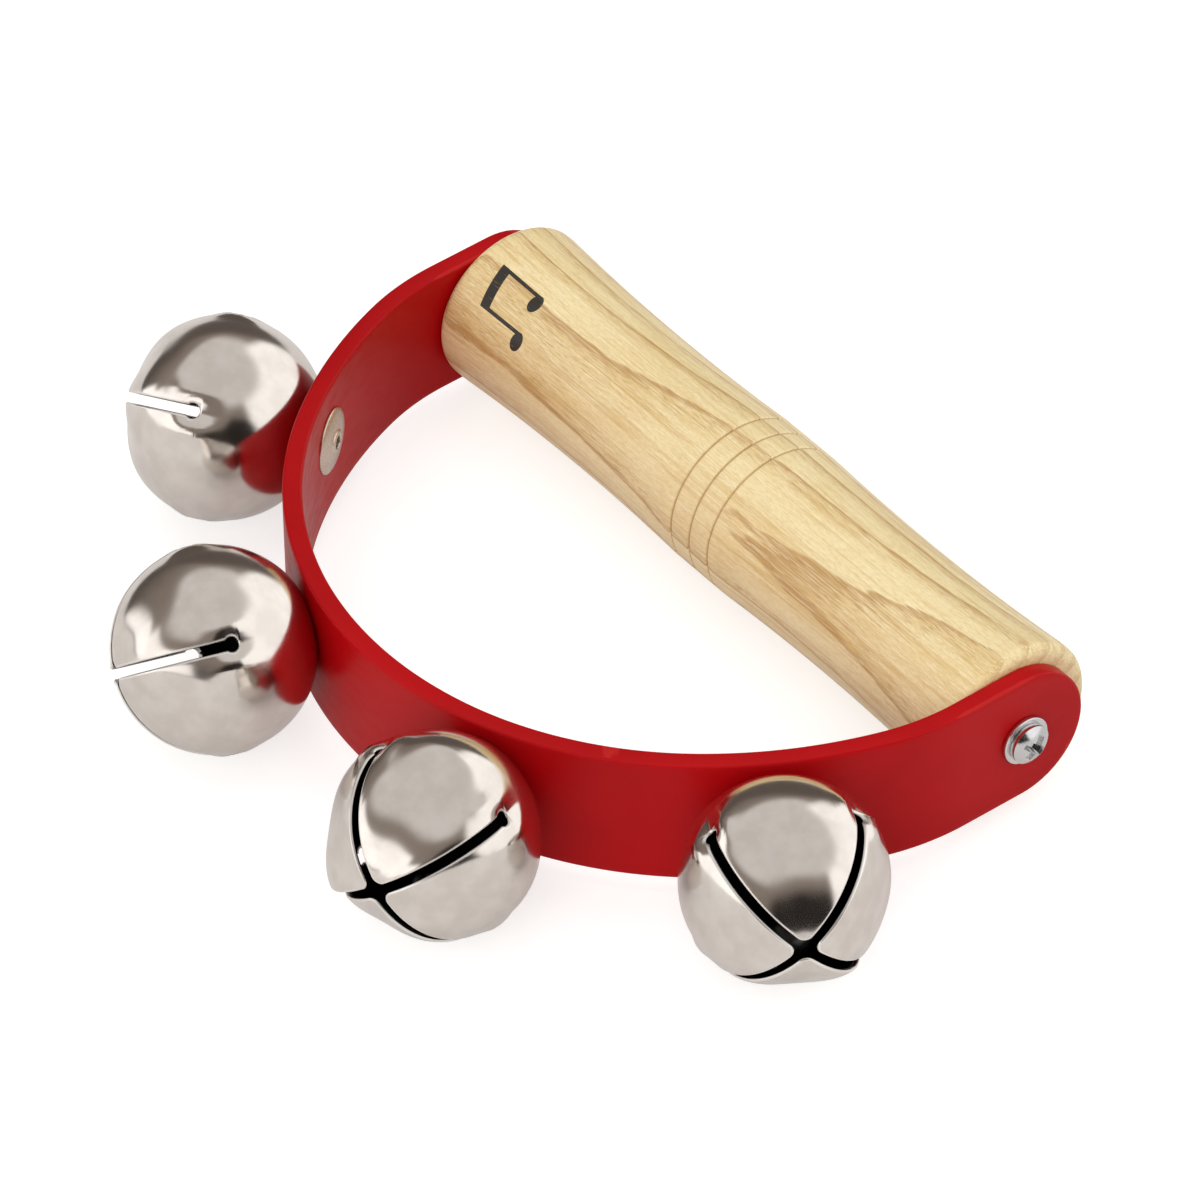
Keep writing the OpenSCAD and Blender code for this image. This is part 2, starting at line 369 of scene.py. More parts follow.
def wood():
    """Ash: straight pore streaks, growth rings that arch where the round grip cuts them."""
    material = bpy.data.materials.new("ash_wood")
    s = Shader(material)
    x, y, z = s.add("SeparateXYZ", Vector=s.place_mm()).outputs
    early, line = growth_rings(s, x, y, z)
    pores = s.noise(s.place_mm((3.6, 0.17, 0.17)), 1.0, 2.0, 0.6)
    fibres = s.noise(s.place_mm((11, 0.24, 0.24)), 1.0, 3.0, 0.6)
    streaks = s.noise(s.place_mm((60, 1.1, 1.1)), 1.0, 3.0, 0.6)
    # Pores crowd together in the early wood.
    crowd = s.math("MULTIPLY_ADD", early, 0.80, 0.20)
    pore_mask = s.math("MULTIPLY", s.ramp(pores, 0.52, 0.63), crowd)
    clouds = s.noise(s.place_mm((38, 8, 8)), 1.0, 2.0)
    speckle = s.noise(s.place_mm((1.1, 0.28, 0.28)), 1.0, 2.0)
    base = s.mix(s.ramp(clouds, 0.35, 0.68), colour(241, 223, 172), colour(232, 208, 152))
    layers = (
        (s.ramp(streaks, 0.45, 0.72, 0.0, 0.6), colour(208, 172, 102)),
        (s.math("MULTIPLY", early, 0.35), colour(206, 168, 100)),
        (s.math("MULTIPLY", line, 0.68), colour(180, 132, 68)),
        (s.ramp(fibres, 0.46, 0.72, 0.0, 0.6), colour(250, 238, 204)),
        (s.math("MULTIPLY", pore_mask, 0.65), colour(178, 132, 72)),
        (s.ramp(speckle, 0.42, 0.66, 0.0, 0.26), colour(206, 172, 112)),
        (turned_scorch(s, x), colour(158, 114, 58)),
    )
    for strength, tint in layers:
        base = s.mix(strength, base, tint)
    # The ink misses the deepest pores.
    ink = s.math("MULTIPLY", printed_notes(s, x, y, z), s.ramp(pores, 0.74, 0.62, 0.6, 0.98))
    base = s.mix(ink, base, colour(12, 11, 11))
    height = s.math("MULTIPLY_ADD", pore_mask, -1.0, s.math("MULTIPLY", fibres, 0.3))
    s.surface(
        Base_Color=base,
        Roughness=s.ramp(pores, 0.3, 0.8, 0.36, 0.5),
        Normal=s.bump(height, 0.05, 0.5),
        Coat_Weight=0.2,
        Coat_Roughness=0.3,
    )
    return material


def red_plastic():
    """Red plastic, a little rubbed, with a painted highlight that makes it paler along its sharp
    edges.
    """
    material = bpy.data.materials.new("red_plastic")
    s = Shader(material)
    clouds = s.noise(s.place_mm((24, 24, 24)), 1.0, 3.0)
    grain = s.noise(s.place_mm((0.35, 0.35, 0.35)), 1.0, 2.0)
    rubs = s.noise(s.place_mm((5, 5, 1.6)), 1.0, 4.0, 0.6)
    base = s.mix(s.ramp(clouds, 0.3, 0.7), colour(165, 2, 8), colour(177, 5, 12))
    # Painted highlight: convex edges, found by pointiness, are mixed toward a paler red.
    edge = s.add("NewGeometry").outputs["Pointiness"]
    base = s.mix(s.ramp(edge, 0.52, 0.60, 0.0, 0.35), base, colour(205, 50, 46))
    s.surface(
        Base_Color=base,
        Roughness=s.ramp(rubs, 0.35, 0.75, 0.30, 0.40),
        Specular_IOR_Level=0.12,
        Normal=s.bump(s.math("MULTIPLY_ADD", rubs, 0.2, grain), 0.008, 0.5),
    )
    return material


def metal(name, light, dark, rough_low, rough_high, bump_mm, streak=(0.5, 0.5, 0.5)):
    """Bare or plated metal with cloudy tone, a little uneven polish and fine marks."""
    material = bpy.data.materials.new(name)
    s = Shader(material)
    clouds = s.noise(s.place_mm((9, 9, 9)), 1.0, 3.0)
    marks = s.noise(s.place_mm(streak), 1.0, 4.0, 0.65)
    s.surface(
        Base_Color=s.mix(s.ramp(clouds, 0.3, 0.7), light, dark),
        Metallic=1.0,
        Roughness=s.ramp(marks, 0.3, 0.75, rough_low, rough_high),
        Normal=s.bump(marks, bump_mm, 0.5),
    )
    return material


def nickel():
    """Bright nickel plate on pressed sheet: slow ripples from the press and a light haze."""
    material = bpy.data.materials.new("nickel_shell")
    s = Shader(material)
    ripple = s.noise(s.place_mm((11, 11, 11)), 1.0, 1.0)
    haze = s.noise(s.place_mm((4, 4, 4)), 1.0, 3.0)
    hair = s.noise(s.place_mm((0.15, 2.4, 0.6)), 1.0, 2.0)
    height = s.math("MULTIPLY_ADD", hair, 0.02, ripple)
    s.surface(
        Base_Color=s.mix(s.ramp(haze, 0.3, 0.7), colour(228, 221, 215), colour(218, 210, 203)),
        Metallic=1.0,
        Roughness=s.ramp(haze, 0.3, 0.75, 0.14, 0.19),
        Normal=s.bump(height, 0.03, 0.5),
    )
    return material


NICKEL = nickel()
# The rolled rims get a lighter nickel than the shell, a painted highlight, and a rougher polish.
NICKEL_RIM_HIGHLIGHT = metal("nickel_rim_painted_highlight", colour(246, 242, 238), colour(228, 222, 216), 0.30, 0.42, 0.01)
# The inside of the shell is a near-black nickel: painted shade for the dark inside of the closed ball.
NICKEL_INSIDE_SHADE = metal("nickel_inside_painted_shade", colour(46, 42, 40), colour(28, 26, 25), 0.42, 0.6, 0.02)
ZINC = metal("zinc_steel", colour(228, 228, 226), colour(200, 202, 204), 0.12, 0.26, 0.015)
RIVET = metal("rivet_metal", colour(222, 208, 196), colour(200, 184, 172), 0.24, 0.38, 0.02)
MANDREL = metal("mandrel_steel", colour(150, 146, 142), colour(104, 100, 98), 0.34, 0.6, 0.06)
PELLET = metal("pellet_steel", colour(128, 126, 124), colour(92, 90, 88), 0.28, 0.5, 0.05)
WOOD = wood()
RED = red_plastic()

# ---------------------------------------------------------------- grip


GROOVE_HALF_W = 0.24
GROOVE_DEPTH = 0.32


def grip_radius(x):
    """Radius of the turned grip at a distance x from its middle."""
    dip = (GRIP_BAND_D - WAIST_D) / 2
    run = WAIST_X - GRIP_BAND / 2
    curve_r = (run**2 + dip**2) / (2 * dip)
    if abs(x) < GRIP_BAND / 2:
        base = GRIP_BAND_D / 2
    else:
        base = WAIST_D / 2 + curve_r - math.sqrt(curve_r**2 - (abs(x) - WAIST_X) ** 2)
    rings = sum(bump_at(x, k * RING_PITCH, GROOVE_HALF_W) for k in (-1, 0, 1))
    return min(base, GRIP_END_D / 2) - GROOVE_DEPTH * rings


def grip():
    """Turned grip, with rows of points close together where the ring grooves are."""
    fine, coarse = 0.1, 1.2
    around, edge_steps = 144, 8
    half = GRIP_LEN / 2
    rows = [-half + GRIP_EDGE_R]
    while rows[-1] < half - GRIP_EDGE_R:
        near_ring = abs(rows[-1]) < RING_PITCH + coarse
        rows.append(min(half - GRIP_EDGE_R, rows[-1] + (fine if near_ring else coarse)))
    end_r = grip_radius(half)
    edge = []
    for k in range(edge_steps + 1):
        angle = math.radians(90 * k / edge_steps)
        out = end_r - GRIP_EDGE_R + GRIP_EDGE_R * math.sin(angle)
        edge.append((out, half - GRIP_EDGE_R + GRIP_EDGE_R * math.cos(angle)))
    face = [(r, half) for r in (0, 4, 9)]
    profile = [(r, -h) for r, h in face + edge]
    profile += [(grip_radius(x), x) for x in rows[1:-1]]
    profile += list(reversed(face + edge))
    points, faces = lathe(profile, around)
    along_x = place(Vector((0, 0, -1)), Vector((0, 1, 0)), Vector((1, 0, 0)), (0, 0, 0))
    piece = make_object("grip", points, faces, along_x, [WOOD])
    hand_over(piece, "grip_and_strap", "handle")


# ---------------------------------------------------------------- strap


def turned(radius, degrees):
    """Vector of a length, turned from +X toward -Y."""
    angle = math.radians(degrees)
    return Vector((radius * math.cos(angle), -radius * math.sin(angle)))


SHOULDER_CENTRE = Vector((TAB_X - SHOULDER_R, -STRAP_FLAT))
SIDE_CENTRE = SHOULDER_CENTRE + turned(SHOULDER_R - SIDE_R, SHOULDER_TURN)
LOOP_START = SHOULDER_TURN + SIDE_TURN
LOOP_R = SIDE_R + SIDE_CENTRE.x / math.cos(math.radians(LOOP_START))
LOOP_CENTRE = SIDE_CENTRE + turned(SIDE_R - LOOP_R, LOOP_START)
LOOP_LEN = LOOP_R * math.radians(90 - LOOP_START)
SIDE_LEN = SIDE_R * math.radians(SIDE_TURN)
SHOULDER_LEN = SHOULDER_R * math.radians(SHOULDER_TURN)
TAB_START = LOOP_LEN + SIDE_LEN + SHOULDER_LEN
STRAP_END = TAB_START + STRAP_FLAT + STRAP_W / 2 - SCREW_DROP


def strap_path(s):
    """Point on the strap's centreline at a length s from its middle, and its outward direction."""
    length = abs(s)
    if length < LOOP_LEN:
        centre, radius, angle = LOOP_CENTRE, LOOP_R, 90 - math.degrees(length / LOOP_R)
    elif length < LOOP_LEN + SIDE_LEN:
        angle = LOOP_START - math.degrees((length - LOOP_LEN) / SIDE_R)
        centre, radius = SIDE_CENTRE, SIDE_R
    elif length < TAB_START:
        angle = SHOULDER_TURN - math.degrees((length - LOOP_LEN - SIDE_LEN) / SHOULDER_R)
        centre, radius = SHOULDER_CENTRE, SHOULDER_R
    else:
        centre, radius, angle = Vector((TAB_X, length - TAB_START - STRAP_FLAT)), 0.0, 0.0
    out = turned(1.0, angle)
    point = centre + out * radius
    if s < 0:
        point.x, out.x = -point.x, -out.x
    return point, out


def nearest_length(x, y):
    """Length along the strap's centreline of the place nearest to a point."""
    target = Vector((x, y))
    steps = 1200
    lengths = [STRAP_END * (2 * k / steps - 1) for k in range(steps + 1)]
    return min(lengths, key=lambda s: (strap_path(s)[0] - target).length)


STRAP_EDGE_R = 0.55


def strap_outline():
    """Outline of the strap's upper half, laid flat, from the right end to the left: place along
    the strap, radius of the rounded end or 0 between the ends, and direction outward."""
    tip_steps, rows = 14, 250
    half_w = STRAP_W / 2
    centre = STRAP_END - half_w
    quarter = [math.radians(90 * k / tip_steps) for k in range(tip_steps + 1)]
    outline = [(centre, half_w, math.cos(angle), math.sin(angle)) for angle in quarter]
    outline += [(centre * (1 - 2 * k / rows), 0.0, 0.0, 1.0) for k in range(1, rows)]
    for angle in reversed(quarter):
        outline.append((-centre, half_w, -math.cos(angle), math.sin(angle)))
    return outline


def strap_point(s, w, height, rivets):
    """Place at a length s along the strap, w across it and height outward from its middle. The
    side toward the grip is dented a little round each rivet."""
    spread, dent_depth = 60.0, 0.22
    point, out = strap_path(s)
    dent = sum(math.exp(-((s - rs) ** 2 + (w - rz) ** 2) / spread) for rs, rz in rivets)
    lift = height + (dent_depth * dent if height < 0 else 0.0)
    return (point.x + out.x * lift, point.y + out.y * lift, w)


def strap_rim():
    """Rounded long edge: (distance in from the edge, height), from the outer face to the inner."""
    edge_steps = 5
    flat = STRAP_T / 2 - STRAP_EDGE_R
    outer = []
    for k in range(edge_steps + 1):
        turn = math.radians(90 * k / edge_steps)
        outer.append((STRAP_EDGE_R * (1 - math.sin(turn)), flat + STRAP_EDGE_R * math.cos(turn)))
    return outer + [(inset, -height) for inset, height in reversed(outer)]


def strap_loop(row, rim, rivets):
    """Closed loop of points round the strap at one row of its outline."""
    along, tip_r, out_s, out_w = row
    columns = 22

    def edge_point(inset, height, sign):
        reach = (tip_r if tip_r else STRAP_W / 2) - inset
        s = along + (reach * out_s if tip_r else 0.0)
        return strap_point(s, sign * reach * out_w, height, rivets)

    def face_points(height, sign):
        s = along + ((tip_r - STRAP_EDGE_R) * out_s if tip_r else 0.0)
        half_w = (STRAP_W / 2 - STRAP_EDGE_R) * out_w
        widths = [half_w * (1 - 2 * c / columns) for c in range(1, columns)]
        return [strap_point(s, w * sign, height, rivets) for w in widths]

    loop = [edge_point(inset, height, 1) for inset, height in rim]
    loop += face_points(-STRAP_T / 2, 1)
    loop += [edge_point(inset, height, -1) for inset, height in reversed(rim)]
    loop += face_points(STRAP_T / 2, -1)
    return loop


def strap():
    rivets = []
    for number in BELLS:
        origin = bell_place(number, -BELL_OFFSET).translation / MM
        rivets.append((nearest_length(origin.x, origin.y), origin.z))
    rim = strap_rim()
    points, faces, loops = [], [], []
    for row in strap_outline():
        loop = strap_loop(row, rim, rivets)
        loops.append(list(range(len(points), len(points) + len(loop))))
        points += loop
    size = len(loops[0])
    for low, high in zip(loops, loops[1:]):
        for k in range(size):
            n = (k + 1) % size
            faces.append([low[k], low[n], high[n], high[k]])
    piece = make_object("strap_band", points, faces, upright(), [RED], weld=0.002)
    hand_over(piece, "grip_and_strap", "strap")


# ---------------------------------------------------------------- screws and washers


WASHER_T = 0.9


def washer(side_name, side):
    hole_r, outer_r, corner_r, around = 2.15, 4.5, 0.28, 72
    start = (hole_r, 0.4)
    section = [start, (hole_r, 0), (outer_r, 0), (outer_r, WASHER_T), (hole_r, WASHER_T), start]
    points, faces = lathe(fillet(section, corner_r), around)
    name = f"washer_{side_name}"
    piece = make_object(f"{name}_piece", points, faces, tab_place(side), [ZINC], weld=0.002)
    hand_over(piece, "grip_and_strap", name)


def cross_cutter(matrix, top, turn_degrees):
    """Tapered four-winged punch that cuts a screw's cross recess."""
    # Height, reach of a wing and half its width: above the head, in the head, and at the tip.
    levels = (
        (top + 0.3, 2.75, 0.85),
        (top - 0.5, 2.75 * 0.86, 0.85 * 0.92),
        (top - 1.9, 1.2, 0.5),
    )
    points, faces = [], []
    for height, reach, half in levels:
        for quarter in range(4):
            angle = math.radians(90 * quarter + turn_degrees)
            c, s = math.cos(angle), math.sin(angle)
            for along, out in ((reach, -half), (reach, half), (half, half)):
                points.append((c * along - s * out, s * along + c * out, height))
    corners = len(points) // len(levels)
    for low in range(0, len(points) - corners, corners):
        high = low + corners
        for k in range(corners):
            n = (k + 1) % corners
            faces.append([low + k, low + n, high + n, high + k])
    faces.append(list(range(corners)))
    faces.append(list(range(len(points) - corners, len(points))))
    return make_object("cutter", points, faces, matrix, [])


def screw(side_name, side, turn_degrees):
    """Pan-head screw with a cross recess, its head on the washer and its point in the grip."""
    head_r, head_h, edge_h, shank_r = 3.65, 2.5, 1.15, 2.0
    shank_end, point_end, point_r = -21, -25, 0.3
    dome_steps, corner_r, around, recess_edge = 12, 0.35, 96, 0.09
    dome_h = head_h - edge_h
    dome_r = (head_r**2 + dome_h**2) / (2 * dome_h)
    head = []
    for k in range(dome_steps + 1):
        r = head_r * math.sin(math.radians(90 * k / dome_steps))
        head.append((r, head_h - dome_r + math.sqrt(dome_r**2 - r**2)))
    shank = [(head_r, 0), (shank_r, 0), (shank_r, shank_end), (point_r, point_end), (0, point_end)]
    profile = [(r, h + WASHER_T) for r, h in fillet(head + shank, corner_r, 4)]
    points, faces = lathe(profile, around)
    name = f"screw_{side_name}"
    matrix = tab_place(side)
    piece = make_object(f"{name}_piece", points, faces, matrix, [ZINC], weld=0.002)
    cutter = cross_cutter(matrix, head_h + WASHER_T, turn_degrees)
    cut = piece.modifiers.new("recess", "BOOLEAN")
    cut.operation, cut.solver, cut.object = "DIFFERENCE", "EXACT", cutter
    soften = piece.modifiers.new("soften", "BEVEL")
    soften.width, soften.segments, soften.limit_method = recess_edge * MM, 2, "ANGLE"
    soften.angle_limit = math.radians(35)
    apply_modifiers(piece)
    bpy.data.objects.remove(cutter)
    hand_over(piece, "grip_and_strap", name)


# ---------------------------------------------------------------- rivets


# Heights from the strap's middle, outward. The flange sits in the strap's inner face and the folded
# tail grips the bell's back, with a little room for the bell to turn.
FLANGE_SEAT = 0.15 - STRAP_T / 2
TAIL_ROOM = 0.2
TAIL_START = STRAP_T / 2 + BELL_WALL + TAIL_ROOM
TAIL_END = TAIL_START + 3.6
RIVET_BORE_R = 1.12


def rivet(number):
    """Blind rivet: dished flange, tubular shank and tail."""
    shank_r, flange_r, tail_r = 2.0, 5.9, 3.1
    corner_r, around = 0.3, 72
    start = (RIVET_BORE_R, FLANGE_SEAT - 0.9)
    section = [
        start,
        (RIVET_BORE_R, FLANGE_SEAT - 1.5),
        (1.9, FLANGE_SEAT - 1.5),
        (2.25, FLANGE_SEAT - 1.12),
        (3.6, FLANGE_SEAT - 1.02),
        (5.2, FLANGE_SEAT - 0.72),
        (flange_r, FLANGE_SEAT - 0.42),
        (flange_r, FLANGE_SEAT),
        (shank_r, FLANGE_SEAT),
        (shank_r, TAIL_START),
        (tail_r, TAIL_START),
        (tail_r, TAIL_END),
        (RIVET_BORE_R, TAIL_END),
        start,
    ]
    points, faces = lathe(fillet(section, corner_r), around)
    name = f"rivet_{number}"
    matrix = bell_place(number, -BELL_OFFSET)
    piece = make_object(f"{name}_piece", points, faces, matrix, [RIVET], weld=0.002)
    hand_over(piece, "grip_and_strap", name)


def mandrel(number):
    """Stub of the pulling mandrel, broken off inside the flange, its head past the tail."""
    stub_r, head_len, corner_r, around, roughness = 1.1, 2.4, 0.2, 40, 0.18
    profile = [
        (0, FLANGE_SEAT - 0.85),
        (0.55, FLANGE_SEAT - 0.95),
        (stub_r, FLANGE_SEAT - 0.8),
        (stub_r, TAIL_END),
        (1.9, TAIL_END + 0.05),
        (1.7, TAIL_END + 1.3),
        (stub_r, TAIL_END + head_len),
        (0, TAIL_END + head_len),
    ]
    points, faces = lathe(fillet(profile, corner_r), around)
    rough = []
    for x, y, z in points:
        shake = noise.noise(Vector((x * 3, y * 3, number)))
        rough.append((x, y, z + (roughness * shake if z < FLANGE_SEAT else 0.0)))
    matrix = bell_place(number, -BELL_OFFSET)
    name = f"rivet_mandrel_{number}"
    piece = make_object(f"{name}_piece", rough, faces, matrix, [MANDREL], weld=0.002)
    hand_over(piece, "grip_and_strap", name)


# ---------------------------------------------------------------- bells

BELL_R = 17.3
BACK_FLAT = BELL_OFFSET - STRAP_T / 2 - 0.05
# The slots: half their width, the radius of a petal's tip, and the round hole each slot ends in.
SLOT_HALF = 0.85
TIP_R = 1.8
HOLE_R = 1.25
HOLE_AT = 89.0
HOLE_DROP = math.degrees(math.sqrt(HOLE_R**2 - SLOT_HALF**2) / BELL_R)
HOLE_END = HOLE_AT + math.degrees(HOLE_R / BELL_R)
# Rolled rim round every slot, and how far in from the edge its rows of points lie.
RIM_R = 0.42
RIM_STEPS = (0.0, 0.025, 0.09, 0.19, 0.31, 0.45)
# Hand-closed petals: how far each bell's front leans, in degrees about its own X and Y, and how far
# its pole is from its centre.
LEAN = {1: (0.0, 0.0), 2: (0.0, 0.0), 3: (-3.5, -2.3), 4: (-2.5, 4.1)}
POLE_R = {1: 16.3, 2: 17.3, 3: 17.2, 4: 17.3}
# How much each bell's petals are flattened at their middles, in millimetres.
PETAL_FLAT = {1: 0.9, 2: 1.0, 3: 1.15, 4: 1.15}
# How much fuller, or flatter below 0, the petals' middles are at the back, in millimetres. Much
# below -0.15, the wall would cut into the shot at the ends of its travel.
REAR_FULL = {1: -0.15, 2: -0.15, 3: 0.45, 4: -0.15}
# Petals bent outward along one edge: bell and petal number, and by how many millimetres.
FLARES = {(3, 1): 1.5, (4, 2): 0.8}
# Petals that stand up behind, near the strap, by how many millimetres.
HUMPS = {(3, 0): 0.9}


def from_slot(azimuth):
    """Angle in degrees between an azimuth and the nearest slot."""
    return abs((azimuth + 45) % 90 - 45)


def beyond_hole(polar):
    """Distance in millimetres along the skin from the middle of a slot's end hole."""
    return (polar - HOLE_AT) * math.pi / 180 * BELL_R


def edge_distance(polar, azimuth):
    """Distance in millimetres from a place on the skin to the nearest edge of a slot or its end."""
    off_slot = math.radians(from_slot(azimuth))
    out = BELL_R * math.sin(math.radians(polar))
    to_hole = math.hypot(off_slot * out, beyond_hole(polar)) - HOLE_R
    if polar > HOLE_AT:
        return to_hole
    x, y = out * math.cos(off_slot), out * math.sin(off_slot)
    tip_centre = SLOT_HALF + TIP_R
    if x < tip_centre and y < tip_centre:
        return TIP_R - math.hypot(tip_centre - x, tip_centre - y)
    return min(x - SLOT_HALF, y - SLOT_HALF, to_hole)


def slot_folds(polar, off_slot):
    """Height of the crease that runs on from a slot's end toward the back, and of the swelling on
    both sides of it."""
    crease_depth, crease_half_w = 0.55, 1.7
    swell_height, swell_at, swell_half_w = 0.55, 3.4, 1.6
    side = math.radians(off_slot) * BELL_R * math.sin(math.radians(polar))
    fold = smoothstep(78, 91, polar) * (1 - smoothstep(92, 112, polar))
    swell = smoothstep(70, 86, polar) * (1 - smoothstep(90, 108, polar))
    crease = crease_depth * fold * bump_at(side, 0, crease_half_w)
    return crease, swell_height * swell * bump_at(side, swell_at, swell_half_w)


def arch(polar, start, run):
    """Half a sine wave of height 1 that begins at start and lasts for run, in degrees."""
    return math.sin(math.pi * min(1.0, max(0.0, (polar - start) / run)))


def bell_radius(polar, azimuth, number):
    """Distance from the bell's centre to its skin. polar is from the outer pole, azimuth is from
    a slot, both in degrees. Each petal is flattened across its middle."""
    back_extra = 0.15
    off_slot = from_slot(azimuth)
    petal, across = int(azimuth // 90), (azimuth % 90) / 90
    hollow = 0.5 - 0.5 * math.cos(math.radians(4 * off_slot))
    front = POLE_R[number] + (BELL_R - POLE_R[number]) * smoothstep(8, 55, polar)
    front -= PETAL_FLAT[number] * hollow * arch(polar, 3, 93)
    front += FLARES.get((number, petal), 0.0) * arch(polar, 10, 80) * smoothstep(0.15, 1.0, across)
    rear = BELL_R + back_extra + REAR_FULL[number] * hollow * (1 - smoothstep(92, 125, polar))
    rear += HUMPS.get((number, petal), 0.0) * hollow * bump_at(polar, 96, 22)
    share = smoothstep(55, 95, polar)
    crease, swelling = slot_folds(polar, off_slot)
    return front * (1 - share) + rear * share - crease + swelling


def bell_point(polar, azimuth, number):
    """Place on the outside of a bell's skin, in its own frame turned to its slots."""
    radius = bell_radius(polar, azimuth, number)
    inset = min(RIM_R, max(0.0, edge_distance(polar, azimuth)))
    radius -= RIM_R - math.sqrt(RIM_R**2 - (RIM_R - inset) ** 2)
    p, a = math.radians(polar), math.radians(azimuth)
    z = radius * math.cos(p)
    out = radius * math.sin(p)
    # The back is pressed flat against the strap, with a soft corner.
    over = -BACK_FLAT - z
    soft = 0.35
    z += 0.5 * (over + math.sqrt(over * over + soft * soft)) if over > -3 * soft else 0.0
    point = Vector((out * math.cos(a), out * math.sin(a), max(z, -BACK_FLAT)))
    share = 1 - smoothstep(95, 140, polar)
    lean_x, lean_y = (math.radians(angle * share) for angle in LEAN[number])
    unturned = math.radians(-SLOT_TURNS[number])
    axis = Vector((lean_x, lean_y, 0))
    axis.rotate(Matrix.Rotation(unturned, 3, "Z"))
    if axis.length > 0:
        point.rotate(Matrix.Rotation(axis.length, 3, axis.normalized()))
    return point


def slot_edge(polar, level, number):
    """Azimuth in degrees at which a petal starts beside a slot."""
    out = bell_radius(polar, 0, number) * math.sin(math.radians(polar))
    if level == "closed":
        return 0.0
    if level == "hole":
        half = math.sqrt(max(0.0, HOLE_R**2 - beyond_hole(polar) ** 2))
        return math.degrees(math.asin(min(1.0, half / out)))
    tip_centre = (SLOT_HALF + TIP_R) * math.sqrt(2)
    tangent = math.hypot(SLOT_HALF + TIP_R, SLOT_HALF)
    if out < tangent:
        near = (out**2 + tip_centre**2 - TIP_R**2) / (2 * out * tip_centre)
        return 45 - math.degrees(math.acos(min(1.0, near)))
    return math.degrees(math.asin(SLOT_HALF / out))


def bell_rows(number):
    """(polar angle, which part of the slot) from the petals' tips to the rivet hole."""
    tip_rows, front_rows, hole_rows, back_rows = 10, 44, 8, 34
    tip_run, flat_start = 3.2, 157.0
    flat_rows = (160.0, 163.0, 166.5, 170.0, 172.9)
    tip_out = (SLOT_HALF + TIP_R) * math.sqrt(2) - TIP_R
    tip = math.degrees(math.asin(tip_out / POLE_R[number])) + 0.02
    hole_start = HOLE_AT - HOLE_DROP
    rows = [(tip + tip_run * (k / tip_rows) ** 2, "slot") for k in range(tip_rows)]
    for k in range(front_rows):
        rows.append((tip + tip_run + (hole_start - tip - tip_run) * k / front_rows, "slot"))
    first_turn = math.asin(-HOLE_DROP / (HOLE_END - HOLE_AT))
    for k in range(hole_rows):
        turn = first_turn + (math.pi / 2 - first_turn) * k / hole_rows
        rows.append((HOLE_AT + (HOLE_END - HOLE_AT) * math.sin(turn), "hole"))
    closed = [HOLE_END + math.degrees(inset / BELL_R) for inset in RIM_STEPS]
    run = flat_start - closed[-1]
    closed += [closed[-1] + run * k / back_rows for k in range(1, back_rows + 1)]
    return rows + [(polar, "closed") for polar in closed + list(flat_rows)]


def column_azimuths(start, out):
    """Azimuths from one side of a petal to the other, close together at both edges."""
    middle, rim_share = 26, 0.1
    rims = [start + math.degrees(inset / out) for inset in RIM_STEPS]
    rims = [min(azimuth, start + (45 - start) * rim_share * k) for k, azimuth in enumerate(rims)]
    first = rims[-1]
    between = [first + (90 - 2 * first) * k / middle for k in range(1, middle)]
    return rims + between + [90 - azimuth for azimuth in reversed(rims)]


def petal_grid(number, petal, points):
    """Adds one petal's points, and returns each row's point numbers and distances from an edge."""
    grid = []
    for polar, level in bell_rows(number):
        start = slot_edge(polar, level, number)
        steps = column_azimuths(start, BELL_R * math.sin(math.radians(polar)))
        line = list(range(len(points), len(points) + len(steps)))
        points += [bell_point(polar, azimuth + 90 * petal, number) for azimuth in steps]
        grid.append((line, [edge_distance(polar, azimuth) for azimuth in steps]))
    return grid


def bell(number):
    """Pressed sheet ball of four petals, with a painted highlight on the rolled rims and painted shade
    inside.
    """
    points, faces, rim_faces = [], [], []
    for petal in range(4):
        grid = petal_grid(number, petal, points)
        for (low, low_insets), (high, high_insets) in zip(grid, grid[1:]):
            for k in range(len(low) - 1):
                faces.append([low[k], low[k + 1], high[k + 1], high[k]])
                corners = low_insets[k : k + 2] + high_insets[k : k + 2]
                rim_faces.append(sum(corners) / 4 < RIM_R)
    turn = Matrix.Rotation(math.radians(SLOT_TURNS[number]), 4, "Z")
    matrix = bell_place(number) @ turn
    name = f"bell_{number}_skin"
    # Rim faces take the lighter nickel of the painted highlight; the inner faces take the near-black
    # nickel of the painted shade.
    materials = [NICKEL, NICKEL_RIM_HIGHLIGHT, NICKEL_INSIDE_SHADE, NICKEL_INSIDE_SHADE, NICKEL_RIM_HIGHLIGHT]
    piece = make_object(name, points, faces, matrix, materials, weld=0.004, second=rim_faces)
    thicken = piece.modifiers.new("sheet", "SOLIDIFY")
    thicken.thickness, thicken.offset = BELL_WALL * MM, -1.0
    thicken.material_offset, thicken.material_offset_rim = 2, 3
    apply_modifiers(piece)
    for polygon in piece.data.polygons:
        polygon.use_smooth = True
    hand_over(piece, f"bell_{number}", f"bell_shell_{number}")


